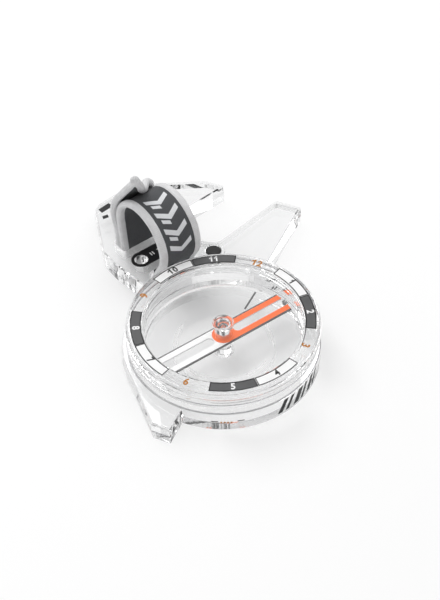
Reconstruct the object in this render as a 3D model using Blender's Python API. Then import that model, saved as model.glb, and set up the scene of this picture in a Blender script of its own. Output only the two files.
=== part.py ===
"""Thumb compass: a clear base plate with a liquid capsule, a turning hour ring and an elastic thumb strap.

Frame: the origin is on the needle's axis, level with the underside. +Z is up, +Y points to 12 on the hour
ring (the direction of travel, along the plate's straight edge) and +X points to 3. Lengths are in metres.
"""

from math import atan2, cos, pi, radians, sin

import bmesh
import bpy
from mathutils import Matrix, Vector

MM = 0.001

# Stack of clear layers, seen from the side
BASE_TOP = 5.4 * MM
FLANGE_TOP = 8.4 * MM
DIAL_TOP = 12.0 * MM
LAYER_GAP = 0.06 * MM           # joint line between two layers of the stack

# Round parts about the needle axis
COLLAR_R = 23.3 * MM
FLANGE_R = 23.0 * MM
RING_R = 23.1 * MM
RING_BORE_R = 19.42 * MM
CAPSULE_R = 19.8 * MM
CAPSULE_BORE_R = 18.95 * MM
CAPSULE_NECK_R = 19.36 * MM
SHELF_Z = (2.95 * MM, 4.0 * MM)      # raised outer part of the capsule's floor: underside and top
WELL_R = (11.2 * MM, 12.3 * MM)      # sunk middle of the floor, inside and outside
WELL_FLOOR = 1.2 * MM
EDGE_CHAMFER = 0.16 * MM
LENS_Z = (11.1 * MM, 11.9 * MM)
GROOVE_Z = (8.9 * MM, 9.9 * MM)      # the snap ring's groove, half in the neck and half in the ring
GROOVE_DEPTH = 0.22 * MM
ROUND_STEPS = 96

# Needle and pivot
NEEDLE_Z = (6.25 * MM, 6.6 * MM)
NEEDLE_ANGLE = radians(30.5)    # clockwise from 12, towards 1
NEEDLE_REACH = 18.4 * MM
NEEDLE_WIDTH = 6.2 * MM
NEEDLE_SLOT = 2.4 * MM
HUB_R = 3.0 * MM                # the two slots start this far from the axis
POST_R = 2.1 * MM
POST_TOP = 5.8 * MM
PIN_R = 0.45 * MM
PIN_TIP_Z = 9.45 * MM
CAP_TOP = 10.95 * MM
CAP_RIM_R = 2.55 * MM
CAP_R = 2.15 * MM
BEARING_R = 1.85 * MM
BEARING_Z = (8.3 * MM, 9.9 * MM)
TRAVEL_ANGLE = radians(2)       # the capsule is glued in with this small turn, clockwise

# Hour ring print: a foil film on the ring's top face
PRINT_R = (19.44 * MM, 22.0 * MM)
PRINT_Z = (DIAL_TOP + 0.01 * MM, DIAL_TOP + 0.09 * MM)
PRINTED_HOURS = (1, 2, 4, 5, 7, 8, 10, 11)
WHITE_HOURS = (1, 4, 7, 10)

# Thumb strap: its own axes are u (across the loop), a (along the strap's width) and h (height above the plate)
STRAP_ANGLE = radians(28)
STRAP_ORIGIN = Vector((-36.1, 18.6, 5.4)) * MM
STRAP_WIDTH = 12.2 * MM
STRAP_THICK = 1.3 * MM
LOOP_R = 9.3 * MM
LOOP_CENTRE = (7.2 * MM, 8.8 * MM)
LOOP_FEET = (-1.5 * MM, 12.6 * MM)    # where the loop's two legs enter their slots
TAIL_CLEARANCE = 1.6 * MM             # least distance between the loop's and the tail's middle surfaces
SLOT_LENGTH = (-0.6 * MM, STRAP_WIDTH + 0.6 * MM)
LEFT_SLOT = (-4.3 * MM, 0.6 * MM)
RIGHT_SLOT = (10.9 * MM, 14.3 * MM)

LABEL_U = (3.3 * MM, 8.5 * MM)
LABEL_A = (-1.5 * MM, 11.0 * MM)
LABEL_THICK = 0.25 * MM
LABEL_HOLE_R = 1.75 * MM
STUD_XY = (-14.6 * MM, 26.7 * MM)
STUD_R = 2.05 * MM
BOSS_R = 3.0 * MM
BOSS_HEIGHT = 0.45 * MM

EDGE_DRAFT = 0.28 * MM          # the plate's edge bulges by this much at mid height
ARC_STEP = radians(9)


# ---------------------------------------------------------------- helpers

def clear_scene():
    for obj in list(bpy.data.objects):
        bpy.data.objects.remove(obj, do_unlink=True)


def material(name, colour, roughness, metallic=0.0, alpha=1.0, transmission=0.0):
    mat = bpy.data.materials.new(name)
    mat.use_nodes = True
    shader = mat.node_tree.nodes["Principled BSDF"]
    shader.inputs["Base Color"].default_value = (*colour, 1.0)
    shader.inputs["Roughness"].default_value = roughness
    shader.inputs["Metallic"].default_value = metallic
    shader.inputs["Alpha"].default_value = alpha
    shader.inputs["Transmission Weight"].default_value = transmission
    mat.diffuse_color = (*colour, alpha)
    return mat


def new_object(name, bm, mat, smooth=None, parent=None):
    """Turns a bmesh into an object; smooth is the angle in degrees up to which its faces are shaded round."""
    bmesh.ops.recalc_face_normals(bm, faces=bm.faces)
    mesh = bpy.data.meshes.new(name)
    bm.to_mesh(mesh)
    bm.free()
    mesh.materials.append(mat)
    if smooth is not None:
        mesh.shade_smooth()
        mesh.set_sharp_from_angle(angle=radians(smooth))
    obj = bpy.data.objects.new(name, mesh)
    bpy.context.scene.collection.objects.link(obj)
    obj.parent = parent
    return obj


def cutter(name, bm):
    obj = new_object(name, bm, None)
    obj.hide_render = True
    obj.display_type = "WIRE"
    return obj


def boolean(obj, tool, operation="DIFFERENCE"):
    step = obj.modifiers.new(tool.name, "BOOLEAN")
    step.operation = operation
    step.solver = "EXACT"
    step.object = tool


def turned(profile, steps=ROUND_STEPS):
    """Spins a closed (radius, height) profile about the needle axis."""
    bm = bmesh.new()
    rings = []
    for radius, height in profile:
        if radius == 0:
            rings.append([bm.verts.new((0, 0, height))])
            continue
        turns = [2 * pi * i / steps for i in range(steps)]
        rings.append([bm.verts.new((radius * cos(t), radius * sin(t), height)) for t in turns])
    for low, high in zip(rings, rings[1:] + rings[:1]):
        for i in range(steps):
            j = (i + 1) % steps
            corners = [low[i % len(low)], low[j % len(low)], high[j % len(high)], high[i % len(high)]]
            corners = list(dict.fromkeys(corners))
            if len(corners) > 2:
                bm.faces.new(corners)
    return bm


def arc(centre, radius, start, end):
    """Points on a circle from one angle to another, in radians, both ends included."""
    count = max(2, round(abs(end - start) / ARC_STEP))
    turns = [start + (end - start) * i / count for i in range(count + 1)]
    return [Vector((centre[0] + radius * cos(t), centre[1] + radius * sin(t))) for t in turns]


def fillet(before, corner, after, radius):
    """The arc that rounds a corner of an outline."""
    before, corner, after = Vector(before), Vector(corner), Vector(after)
    to_before = (before - corner).normalized()
    to_after = (after - corner).normalized()
    half = to_before.angle(to_after) / 2
    centre = corner + (to_before + to_after).normalized() * (radius / sin(half))
    first = corner + to_before * (radius / abs(sin(half) / cos(half)))
    last = corner + to_after * (radius / abs(sin(half) / cos(half)))
    start = atan2(first.y - centre.y, first.x - centre.x)
    sweep = atan2(last.y - centre.y, last.x - centre.x) - start
    sweep = (sweep + pi) % (2 * pi) - pi
    return arc(centre, radius, start, start + sweep)


def rounded(corners):
    """An outline from (x, y, corner radius) rows; a row of Vectors is kept as it is."""
    points = []
    ends = [[Vector(c[:2])] if isinstance(c, tuple) else c for c in corners]
    for i, corner in enumerate(corners):
        if not isinstance(corner, tuple):
            points += corner
            continue
        after = ends[(i + 1) % len(corners)][0]
        points += fillet(ends[i - 1][-1], corner[:2], after, corner[2])
    return points


def offset(points, distance):
    """Moves a counter-clockwise outline outwards by a small distance."""
    moved = []
    for i, point in enumerate(points):
        along = (points[(i + 1) % len(points)] - points[i - 1]).normalized()
        moved.append(point + Vector((along.y, -along.x)) * distance)
    return moved


def stacked(levels):
    """A solid through (outline, height) levels, all with the same number of points, closed at both ends."""
    bm = bmesh.new()
    rings = [[bm.verts.new((p.x, p.y, z)) for p in outline] for outline, z in levels]
    for low, high in zip(rings, rings[1:]):
        for i in range(len(low)):
            j = (i + 1) % len(low)
            bm.faces.new((low[i], low[j], high[j], high[i]))
    bm.faces.new(rings[0][::-1])
    bm.faces.new(rings[-1])
    return bm


def strap_point(u, a, h):
    """World place of a point given in the strap's own axes."""
    across = Vector((cos(STRAP_ANGLE), -sin(STRAP_ANGLE), 0))
    along = Vector((sin(STRAP_ANGLE), cos(STRAP_ANGLE), 0))
    return STRAP_ORIGIN + across * u + along * a + Vector((0, 0, h))


def strap_plane(outline):
    """Outline given in (u, a), turned into plan coordinates."""
    return [strap_point(p[0], p[1], 0).xy for p in outline]


def spline(points, per_span):
    """Catmull-Rom curve through the points, ends included."""
    padded = [points[0] * 2 - points[1], *points, points[-1] * 2 - points[-2]]
    curve = []
    for p0, p1, p2, p3 in zip(padded, padded[1:], padded[2:], padded[3:]):
        for i in range(per_span):
            t = i / per_span
            bend = (p0 * 2 - p1 * 5 + p2 * 4 - p3) * t * t + (p1 * 3 - p0 - p2 * 3 + p3) * t ** 3
            curve.append((p1 * 2 + (p2 - p0) * t + bend) / 2)
    return curve + [points[-1]]


# ---------------------------------------------------------------- base plate

def plate_outline():
    """Counter-clockwise plan of the plate: tooth, straight edge, two prongs, strap lobe and capsule wall."""
    capsule_wall = arc((0, 0), 24.75 * MM, radians(162), radians(225))
    mm_rows = (
        (0, -30.0, 0.3), (0, 51.8, 0.7), (-7.6, 51.6, 1.6),              # tooth and direction prong
        (-15.4, 30.4, 3.0), (-23.4, 29.0, 3.2), (-28.6, 37.4, 3.0),      # notch between the prongs
        (-22.0, 52.0, 0.9), (-28.2, 51.9, 3.4),                          # left prong
        (-46.4, 42.8, 3.5), (-51.6, 30.7, 4.0), (-41.0, 15.5, 2.8), (-36.0, 12.6, 4.0),  # strap lobe
    )
    corners = [(x * MM, y * MM, r * MM) for x, y, r in mm_rows]
    return rounded(corners + [capsule_wall, (-4.8 * MM, -30.0 * MM, 0.3 * MM)])


def make_base_plate(mat):
    outline = plate_outline()
    inner = offset(outline, -EDGE_DRAFT)
    crown = offset(outline, -EDGE_DRAFT - 0.3 * MM)
    levels = [(inner, 0), (outline, BASE_TOP * 0.5), (inner, BASE_TOP - 0.3 * MM), (crown, BASE_TOP)]
    plate = new_object("base_plate", stacked(levels), mat, smooth=12)

    side = COLLAR_R - EDGE_CHAMFER
    collar = turned(((0, 0), (side, 0), (COLLAR_R, EDGE_CHAMFER), (COLLAR_R, BASE_TOP - EDGE_CHAMFER),
                     (side, BASE_TOP), (0, BASE_TOP)))
    boolean(plate, cutter("collar", collar), "UNION")
    top = BASE_TOP + BOSS_HEIGHT
    boss = turned(((0, 3 * MM), (BOSS_R, 3 * MM), (BOSS_R, top - EDGE_CHAMFER), (BOSS_R - EDGE_CHAMFER, top),
                   (0, top)), 40)
    bmesh.ops.translate(boss, verts=boss.verts, vec=(*STUD_XY, 0))
    boolean(plate, cutter("stud_boss", boss), "UNION")
    seat = turned(((0, -1 * MM), (WELL_R[1] + 0.3 * MM, -1 * MM), (WELL_R[1] + 0.3 * MM, SHELF_Z[0] - LAYER_GAP),
                   (CAPSULE_R + 0.3 * MM, SHELF_Z[0] - LAYER_GAP), (CAPSULE_R + 0.3 * MM, BASE_TOP + 1 * MM),
                   (0, BASE_TOP + 1 * MM)))
    boolean(plate, cutter("capsule_seat", seat))
    for name, (low, high) in (("left_slot", LEFT_SLOT), ("right_slot", RIGHT_SLOT)):
        cut_through(plate, name, strap_plane(slot_outline(low, high, 0.9 * MM)))
    hole = strap_plane(arc(label_hole_centre(), LABEL_HOLE_R, 0, 2 * pi)[:-1])
    cut_through(plate, "label_hole", hole)
    stud_hole = arc(STUD_XY, STUD_R + 0.1 * MM, 0, 2 * pi)[:-1]
    boolean(plate, cutter("stud_hole", stacked([(stud_hole, 2.0 * MM), (stud_hole, 7 * MM)])))
    return plate


def cut_through(plate, name, outline):
    boolean(plate, cutter(name, stacked([(outline, -1 * MM), (outline, BASE_TOP + 1 * MM)])))


def slot_outline(low, high, radius):
    """Rounded rectangle in the strap's (u, a) axes, counter-clockwise in plan."""
    near, far = SLOT_LENGTH
    return rounded([(low, near, radius), (high, near, radius), (high, far, radius), (low, far, radius)])


def label_hole_centre():
    half = (LABEL_U[1] - LABEL_U[0]) / 2
    return (LABEL_U[0] + half, LABEL_A[0] + half)


def make_scale_label(mat):
    """Black stadium-shaped plate beside the strap, with the plate's round hole passing through it."""
    radius = (LABEL_U[1] - LABEL_U[0]) / 2 - 0.001 * MM
    corners = [(u, a, radius) for u, a in ((LABEL_U[0], LABEL_A[0]), (LABEL_U[1], LABEL_A[0]),
                                           (LABEL_U[1], LABEL_A[1]), (LABEL_U[0], LABEL_A[1]))]
    outline = strap_plane(rounded(corners))
    levels = [(outline, BASE_TOP + 0.02 * MM), (outline, BASE_TOP + LABEL_THICK)]
    label = new_object("scale_label", stacked(levels), mat)
    hole = strap_plane(arc(label_hole_centre(), LABEL_HOLE_R + 0.05 * MM, 0, 2 * pi)[:-1])
    boolean(label, cutter("label_cut", stacked([(hole, 4 * MM), (hole, 7 * MM)])))
    return label


def make_grip_stud(mat):
    """Black rubber stud pressed into a blind hole in the plate."""
    bottom, top = 2.1 * MM, BASE_TOP + 0.5 * MM
    profile = ((0, bottom), (STUD_R, bottom), (STUD_R, top - 0.3 * MM), (STUD_R - 0.4 * MM, top), (0, top))
    bm = turned(profile, 32)
    bmesh.ops.translate(bm, verts=bm.verts, vec=(*STUD_XY, 0))
    return new_object("grip_stud", bm, mat, smooth=40)


# ---------------------------------------------------------------- capsule

def make_capsule_body(mat):
    """Cup that holds the damping liquid; its flange rests on the base plate."""
    shelf_low, shelf = SHELF_Z
    well, well_outside = WELL_R
    flange = BASE_TOP + LAYER_GAP
    side = FLANGE_R - EDGE_CHAMFER
    cove = 0.5 * MM
    groove = CAPSULE_NECK_R - GROOVE_DEPTH
    corner = [(CAPSULE_BORE_R - cove + cove * sin(t), shelf + cove - cove * cos(t))
              for t in (i * pi / 8 for i in range(5))]
    outside = [(0, 0), (well_outside, 0), (well_outside, shelf_low), (CAPSULE_R, shelf_low), (CAPSULE_R, flange),
               (side, flange), (FLANGE_R, flange + EDGE_CHAMFER), (FLANGE_R, FLANGE_TOP - EDGE_CHAMFER),
               (side, FLANGE_TOP), (CAPSULE_NECK_R, FLANGE_TOP)]
    rim = LENS_Z[0] - 0.05 * MM
    neck = [(CAPSULE_NECK_R, GROOVE_Z[0]), (groove, GROOVE_Z[0] + GROOVE_DEPTH),
            (groove, GROOVE_Z[1] - GROOVE_DEPTH), (CAPSULE_NECK_R, GROOVE_Z[1]), (CAPSULE_NECK_R, rim),
            (CAPSULE_BORE_R, rim)]
    inside = [(well + 0.5 * MM, shelf), (well, shelf - 0.4 * MM), (well - 0.2 * MM, WELL_FLOOR + 0.4 * MM),
              (well - 0.7 * MM, WELL_FLOOR), (0, WELL_FLOOR)]
    body = new_object("capsule_body", turned(outside + neck + corner[::-1] + inside), mat, smooth=35)
    boolean(body, cutter("filler_hole", filler_bar(0.75 * MM, 2 * MM)))
    return body


def filler_bar(radius, length):
    """Short round bar lying along the radius that the filler plug sits on."""
    bm = bmesh.new()
    angle = radians(62)
    middle = (CAPSULE_R + CAPSULE_BORE_R) / 2
    place = Matrix.Translation((middle * cos(angle), middle * sin(angle), 4.9 * MM))
    turn = Matrix.Rotation(angle, 4, "Z") @ Matrix.Rotation(pi / 2, 4, "Y")
    bmesh.ops.create_cone(bm, cap_ends=True, segments=20, radius1=radius, radius2=radius, depth=length,
                          matrix=place @ turn)
    return bm


def make_filler_plug(mat):
    return new_object("filler_plug", filler_bar(0.65 * MM, 1.1 * MM), mat, smooth=40)


def make_capsule_lens(mat):
    """Clear window over the capsule, with a small chamfer on both edges."""
    low, high = LENS_Z
    chamfer = 0.2 * MM
    edge = CAPSULE_NECK_R
    profile = ((0, low), (edge - chamfer, low), (edge, low + chamfer), (edge, high - chamfer),
               (edge - chamfer, high), (0, high))
    return new_object("capsule_lens", turned(profile), mat, smooth=35)


def make_travel_line(mat):
    """Thin dark line on the capsule's floor, pointing to 12 from the sunk middle to the wall."""
    half = 0.22 * MM
    low, high = WELL_R[0] + 0.7 * MM, CAPSULE_BORE_R - 0.6 * MM
    turn = Matrix.Rotation(-TRAVEL_ANGLE, 2)
    outline = [turn @ Vector(corner) for corner in ((-half, low), (half, low), (half, high), (-half, high))]
    z = SHELF_Z[1] + 0.02 * MM
    new_object("travel_line", stacked([(outline, z), (outline, z + 0.08 * MM)]), mat)


def make_pivot(post_mat, pin_mat):
    """Clear post on the capsule floor and the hardened pin that carries the needle."""
    foot = WELL_FLOOR + 0.02 * MM
    socket = 3.4 * MM
    post = ((0, foot), (POST_R + 0.5 * MM, foot), (POST_R, foot + 0.6 * MM),
            (POST_R - 0.15 * MM, POST_TOP - 0.3 * MM), (POST_R - 0.45 * MM, POST_TOP),
            (PIN_R + 0.03 * MM, POST_TOP), (PIN_R + 0.03 * MM, socket), (0, socket))
    new_object("pivot_post", turned(post, 40), post_mat, smooth=40)
    pin_foot = socket + 0.05 * MM
    pin = ((0, pin_foot), (PIN_R, pin_foot), (PIN_R, 8.5 * MM), (0.06 * MM, PIN_TIP_Z), (0, PIN_TIP_Z))
    new_object("pivot_pin", turned(pin, 20), pin_mat, smooth=30)


# ---------------------------------------------------------------- needle

def needle_outline():
    """H-shaped stamping in plan, counter-clockwise, north along +Y: two bars that a round hub joins."""
    half, gap = NEEDLE_WIDTH / 2, NEEDLE_SLOT / 2
    slot_start = HUB_R + gap
    north_slot = [Vector((gap * cos(t), slot_start - gap * sin(t))) for t in (i * pi / 8 for i in range(9))]
    south_slot = [Vector((-gap * cos(t), -slot_start + gap * sin(t))) for t in (i * pi / 8 for i in range(9))]
    lean = 0.25 * MM                                  # the bar ends are cut on a slant
    outline = [Vector((half, NEEDLE_REACH - lean)), Vector((gap, NEEDLE_REACH))]
    outline += north_slot
    outline += [Vector((-gap, NEEDLE_REACH)), Vector((-half, NEEDLE_REACH - lean))]
    outline += [Vector((-half, -NEEDLE_REACH + lean)), Vector((-gap, -NEEDLE_REACH))]
    outline += south_slot
    outline += [Vector((gap, -NEEDLE_REACH)), Vector((half, -NEEDLE_REACH + lean))]
    return outline


def make_needle(blade_mat, cap_mat, cup_mat, axle):
    low, high = NEEDLE_Z
    blade = new_object("needle_blade", stacked([(needle_outline(), low), (needle_outline(), high)]), blade_mat,
                       parent=axle)
    blade.rotation_euler = (0, 0, -NEEDLE_ANGLE)
    hole = arc((0, 0), 1.0 * MM, 0, 2 * pi)[:-1]
    boolean(blade, cutter("needle_hole", stacked([(hole, 5 * MM), (hole, 8 * MM)])))

    bore = BEARING_R + 0.05 * MM
    seat = high + 0.03 * MM
    cap = ((bore, seat), (CAP_R, seat), (CAP_R, 9.9 * MM), (CAP_RIM_R - 0.15 * MM, 10.1 * MM),
           (CAP_RIM_R, 10.25 * MM), (CAP_RIM_R, CAP_TOP - 0.15 * MM), (CAP_RIM_R - 0.15 * MM, CAP_TOP),
           (0, CAP_TOP), (0, 9.95 * MM), (bore, 9.95 * MM))
    new_object("jewel_cap", turned(cap, 48), cap_mat, smooth=35, parent=axle)

    low, high = BEARING_Z
    cup = ((0, PIN_TIP_Z + 0.05 * MM), (1.1 * MM, low), (BEARING_R, low), (BEARING_R, high), (0, high))
    new_object("bearing_cup", turned(cup, 32), cup_mat, smooth=30, parent=axle)


# ---------------------------------------------------------------- hour ring

def make_hour_ring(mat, clip_mat, axle):
    """Clear ring that turns on the capsule's neck, and the snap ring in their shared groove."""
    low = FLANGE_TOP + LAYER_GAP
    crown = 0.9 * MM
    groove = RING_BORE_R + GROOVE_DEPTH
    shoulder = [(RING_R - crown + crown * sin(t), DIAL_TOP - crown + crown * cos(t))
                for t in (i * pi / 10 for i in range(6))]
    profile = [(RING_BORE_R, low), (RING_R - EDGE_CHAMFER, low), (RING_R, low + EDGE_CHAMFER)] + shoulder[::-1]
    profile += [(RING_BORE_R, DIAL_TOP), (RING_BORE_R, GROOVE_Z[1]), (groove, GROOVE_Z[1] - GROOVE_DEPTH),
                (groove, GROOVE_Z[0] + GROOVE_DEPTH), (RING_BORE_R, GROOVE_Z[0])]
    new_object("hour_ring", turned(profile), mat, smooth=35, parent=axle)

    inner = CAPSULE_NECK_R - GROOVE_DEPTH + 0.03 * MM
    outer = groove - 0.03 * MM
    clip_z = (GROOVE_Z[0] + GROOVE_DEPTH + 0.03 * MM, GROOVE_Z[1] - GROOVE_DEPTH - 0.03 * MM)
    clip = ((inner, clip_z[0]), (outer, clip_z[0]), (outer, clip_z[1]), (inner, clip_z[1]))
    new_object("ring_snap_ring", turned(clip), clip_mat, smooth=35)


def make_hour_segments(white, grey, axle):
    """Foil segments of 30 degrees for every hour except 12, 3, 6 and 9."""
    inner, outer = PRINT_R
    for hour in PRINTED_HOURS:
        middle = pi / 2 - hour * pi / 6
        half = pi / 12 - 0.05 * MM / inner
        far = arc((0, 0), outer, middle - half, middle + half)
        near = arc((0, 0), inner, middle + half, middle - half)
        outline = far + near
        bm = stacked([(outline, PRINT_Z[0]), (outline, PRINT_Z[1])])
        mat = white if hour in WHITE_HOURS else grey
        new_object(f"hour_segment_{hour:02d}", bm, mat, parent=axle)


# ---------------------------------------------------------------- thumb strap

def loop_path():
    """Middle line of the strap loop in (u, h): from the left slot, over the thumb and down into the right slot."""
    left, right = LOOP_FEET
    foot = 0.5 * MM - BASE_TOP
    over = arc(LOOP_CENTRE, LOOP_R, pi, -radians(38))
    return [Vector((left, foot)), Vector((left, 0))] + over + [Vector((right, -0.6 * MM)), Vector((right, foot))]


def make_strap_loop(mat):
    """Band that follows the loop path, as wide as the strap; its ends are held in the plate's two slots."""
    path = loop_path()
    bm = bmesh.new()
    rings = []
    for i, point in enumerate(path):
        along = (path[min(i + 1, len(path) - 1)] - path[max(i - 1, 0)]).normalized()
        out = Vector((-along.y, along.x)) * (STRAP_THICK / 2)
        corners = [(point + out, 0), (point + out, STRAP_WIDTH), (point - out, STRAP_WIDTH), (point - out, 0)]
        rings.append([bm.verts.new(strap_point(p.x, a, p.y)) for p, a in corners])
    for one, two in zip(rings, rings[1:]):
        for i in range(4):
            j = (i + 1) % 4
            bm.faces.new((one[i], one[j], two[j], two[i]))
    bm.faces.new(rings[0][::-1])
    bm.faces.new(rings[-1])
    return new_object("strap_loop", bm, mat, smooth=40)


def tail_lines():
    """Five lines along the strap's free end, from its near edge to its far edge, up to the slanted tip."""
    mm_rows = (
        ((-3.3, 0, -3), (-3.3, 0, 0), (-3.5, 0, 4.5), (-4.6, 0, 9.5), (-2.8, 0, 14.6), (1.6, 0.3, 20.6),
         (7.7, 1, 28.5)),
        ((-3.3, 3, -3), (-3.3, 3, 0), (-3.5, 3, 4.5), (-4.3, 3, 9), (-3.2, 3, 13.6), (0.4, 3.2, 18.3),
         (5.3, 3.6, 23.8)),
        ((-3.3, 6.1, -3), (-3.3, 6.1, 0), (-3.6, 6.1, 4.5), (-3.9, 6.1, 8.5), (-3.4, 6.1, 12.4), (-1, 6.1, 16.2),
         (2.9, 6.1, 19.2)),
        ((-3.3, 9.1, -3), (-3.3, 9.1, 0), (-3.6, 9.1, 4.4), (-4, 9.1, 8), (-3.9, 9.1, 11.4), (-2.7, 9.1, 14.8),
         (-0.4, 9.1, 18.2)),
        ((-3.3, 12.2, -3), (-3.3, 12.2, 0), (-3.6, 12.2, 4.2), (-3.9, 12.2, 7.4), (-4, 12.2, 10),
         (-3.5, 12.2, 12.4), (-2.3, 12.2, 14.6)),
    )
    return [spline([Vector(p) * MM for p in row], 5) for row in mm_rows]


def clear_of_loop(point):
    """Pushes a point of the tail straight out from the round of the loop if it lies too close to it."""
    centre = Vector((LOOP_CENTRE[0], point.y, LOOP_CENTRE[1]))
    arm = point - centre
    least = LOOP_R + TAIL_CLEARANCE
    if arm.z > 0 and arm.length < least:
        return centre + arm.normalized() * least
    return point


def make_strap_tail(mat):
    """Free end of the strap: it leaves the left slot outside the loop, and its tip lifts off the loop."""
    rows = [[clear_of_loop(point) for point in spline(row, 2)] for row in zip(*tail_lines())]
    across = len(rows[0]) - 1
    bm = bmesh.new()
    sides = []
    for sign in (0.5, -0.5):
        grid = []
        for i, row in enumerate(rows):
            before, after = rows[max(i - 1, 0)], rows[min(i + 1, len(rows) - 1)]
            line = []
            for j, point in enumerate(row):
                across_way = row[min(j + 1, across)] - row[max(j - 1, 0)]
                normal = (after[j] - before[j]).cross(across_way).normalized()
                line.append(bm.verts.new(strap_point(*(point + normal * STRAP_THICK * sign))))
            grid.append(line)
        sides.append(grid)
    top, bottom = sides
    for i in range(len(rows) - 1):
        for j in range(across):
            bm.faces.new((top[i][j], top[i][j + 1], top[i + 1][j + 1], top[i + 1][j]))
            bm.faces.new((bottom[i][j], bottom[i + 1][j], bottom[i + 1][j + 1], bottom[i][j + 1]))
        for j in (0, across):
            bm.faces.new((top[i][j], top[i + 1][j], bottom[i + 1][j], bottom[i][j]))
    for i in (0, len(rows) - 1):
        for j in range(across):
            bm.faces.new((top[i][j], top[i][j + 1], bottom[i][j + 1], bottom[i][j]))
    return new_object("strap_tail", bm, mat, smooth=40)


# ---------------------------------------------------------------- the model

def pivot_empty(name):
    empty = bpy.data.objects.new(name, None)
    bpy.context.scene.collection.objects.link(empty)
    return empty


def main():
    clear_scene()
    acrylic = material("clear_acrylic", (0.93, 0.94, 0.95), 0.05, transmission=1.0)
    window = material("clear_window", (0.97, 0.97, 0.98), 0.03, transmission=1.0)
    black = material("black_print", (0.02, 0.02, 0.02), 0.5)
    rubber = material("black_rubber", (0.02, 0.02, 0.02), 0.8)
    steel = material("steel", (0.6, 0.6, 0.62), 0.25, metallic=1.0)
    orange = material("orange_paint", (1.0, 0.24, 0.06), 0.45)
    nylon = material("nylon", (0.85, 0.86, 0.87), 0.4)
    white = material("white_foil", (0.95, 0.95, 0.95), 0.4)
    grey = material("grey_foil", (0.13, 0.13, 0.135), 0.45)
    webbing = material("grey_webbing", (0.08, 0.08, 0.09), 0.9)

    make_base_plate(acrylic)
    make_scale_label(black)
    make_grip_stud(rubber)
    make_capsule_body(acrylic)
    make_filler_plug(rubber)
    make_capsule_lens(window)
    make_travel_line(black)
    make_pivot(acrylic, steel)
    make_needle(orange, window, steel, pivot_empty("needle_axis"))
    ring_axle = pivot_empty("hour_ring_axis")
    make_hour_ring(acrylic, nylon, ring_axle)
    make_hour_segments(white, grey, ring_axle)
    make_strap_loop(webbing)
    make_strap_tail(webbing)


main()
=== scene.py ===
"""Looks of the thumb compass: clear mouldings, printed dial, painted needle and knitted strap.

Everything is in the CAD model's frame, in metres: the origin is under the needle's pivot, +Z is up and +Y
points to 12 on the hour ring. The clear mouldings are the CAD solids themselves with a better material.
Print, paint and fabric are pieces of their own.
"""

from math import cos, pi, radians, sin, sqrt

import bmesh
import bpy
from mathutils import Matrix, Vector, noise


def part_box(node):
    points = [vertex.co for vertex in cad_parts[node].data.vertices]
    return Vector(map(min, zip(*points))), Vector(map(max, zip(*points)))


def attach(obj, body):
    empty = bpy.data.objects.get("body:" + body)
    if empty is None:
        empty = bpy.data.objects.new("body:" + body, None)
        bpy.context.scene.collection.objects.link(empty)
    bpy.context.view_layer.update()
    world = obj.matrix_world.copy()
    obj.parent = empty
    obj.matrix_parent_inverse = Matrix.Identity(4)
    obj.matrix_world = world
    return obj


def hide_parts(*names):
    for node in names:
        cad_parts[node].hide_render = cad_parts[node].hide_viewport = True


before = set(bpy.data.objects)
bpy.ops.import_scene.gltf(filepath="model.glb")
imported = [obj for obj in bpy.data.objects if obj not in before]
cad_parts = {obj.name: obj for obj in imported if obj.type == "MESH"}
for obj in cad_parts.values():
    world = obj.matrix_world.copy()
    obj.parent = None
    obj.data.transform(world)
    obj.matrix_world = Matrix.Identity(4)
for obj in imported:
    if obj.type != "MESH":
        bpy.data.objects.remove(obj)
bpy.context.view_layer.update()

MM = 0.001

# ---------------------------------------------------------------- sizes that the CAD model sets

RING_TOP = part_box("hour_ring")[1].z
PLATE_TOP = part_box("scale_label")[0].z
LABEL_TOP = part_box("scale_label")[1].z
FOIL_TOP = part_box("hour_segment_01")[1].z
NEEDLE_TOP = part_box("needle_blade")[1].z
COLLAR_R = 23.3 * MM
TOOTH_START = -24.4 * MM          # y where the tooth's sides begin
EDGE_RIDGE_Z = 2.7 * MM           # mid height of the plate, where its edge bulges

PRINT_R = (19.44 * MM, 22.0 * MM)
FOIL_HOURS = (1, 2, 4, 5, 7, 8, 10, 11)
WHITE_HOURS = (1, 4, 7, 10)

NEEDLE_ANGLE = radians(30.5)
NEEDLE_HALF = 3.1 * MM
NEEDLE_EDGE = 0.38 * MM           # bare strip along each long edge
NEEDLE_REACH = 18.4 * MM
NEEDLE_LEAN = 0.25 * MM
SLOT_HALF = 1.2 * MM
SLOT_START = 4.2 * MM
DISC_R = 2.8 * MM                 # round end of the orange coat at the hub
HUB_HOLE_R = 0.55 * MM

# The strap's own axes are u (across the loop), a (along the strap's width) and h (height above the plate)
STRAP_ANGLE = radians(28)
STRAP_ORIGIN = Vector((-36.1, 18.6, 5.4)) * MM
STRAP_WIDTH = 12.2 * MM
LOOP_R = 9.3 * MM
LOOP_CENTRE = (7.2 * MM, 8.8 * MM)
LOOP_END = -radians(38)
LOOP_FEET = (-1.5 * MM, 12.6 * MM)
LOOP_FOOT = -4.9 * MM

# ---------------------------------------------------------------- node helpers

def add_node(tree, kind, inputs=None, **settings):
    """A shader node; an input is either a value or another node's output socket."""
    node = tree.nodes.new(kind)
    for key, value in settings.items():
        setattr(node, key, value)
    for key, value in (inputs or {}).items():
        if isinstance(value, bpy.types.NodeSocket):
            tree.links.new(value, node.inputs[key])
        else:
            node.inputs[key].default_value = value
    return node


def maths(tree, operation, *values, clamp=False):
    node = add_node(tree, "ShaderNodeMath", dict(enumerate(values)), operation=operation, use_clamp=clamp)
    return node.outputs[0]


def ramp(tree, value, low, high, to_low=0.0, to_high=1.0):
    """Value from low..high mapped to to_low..to_high and held there."""
    inputs = {0: value, 1: low, 2: high, 3: to_low, 4: to_high}
    return add_node(tree, "ShaderNodeMapRange", inputs).outputs[0]


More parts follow.
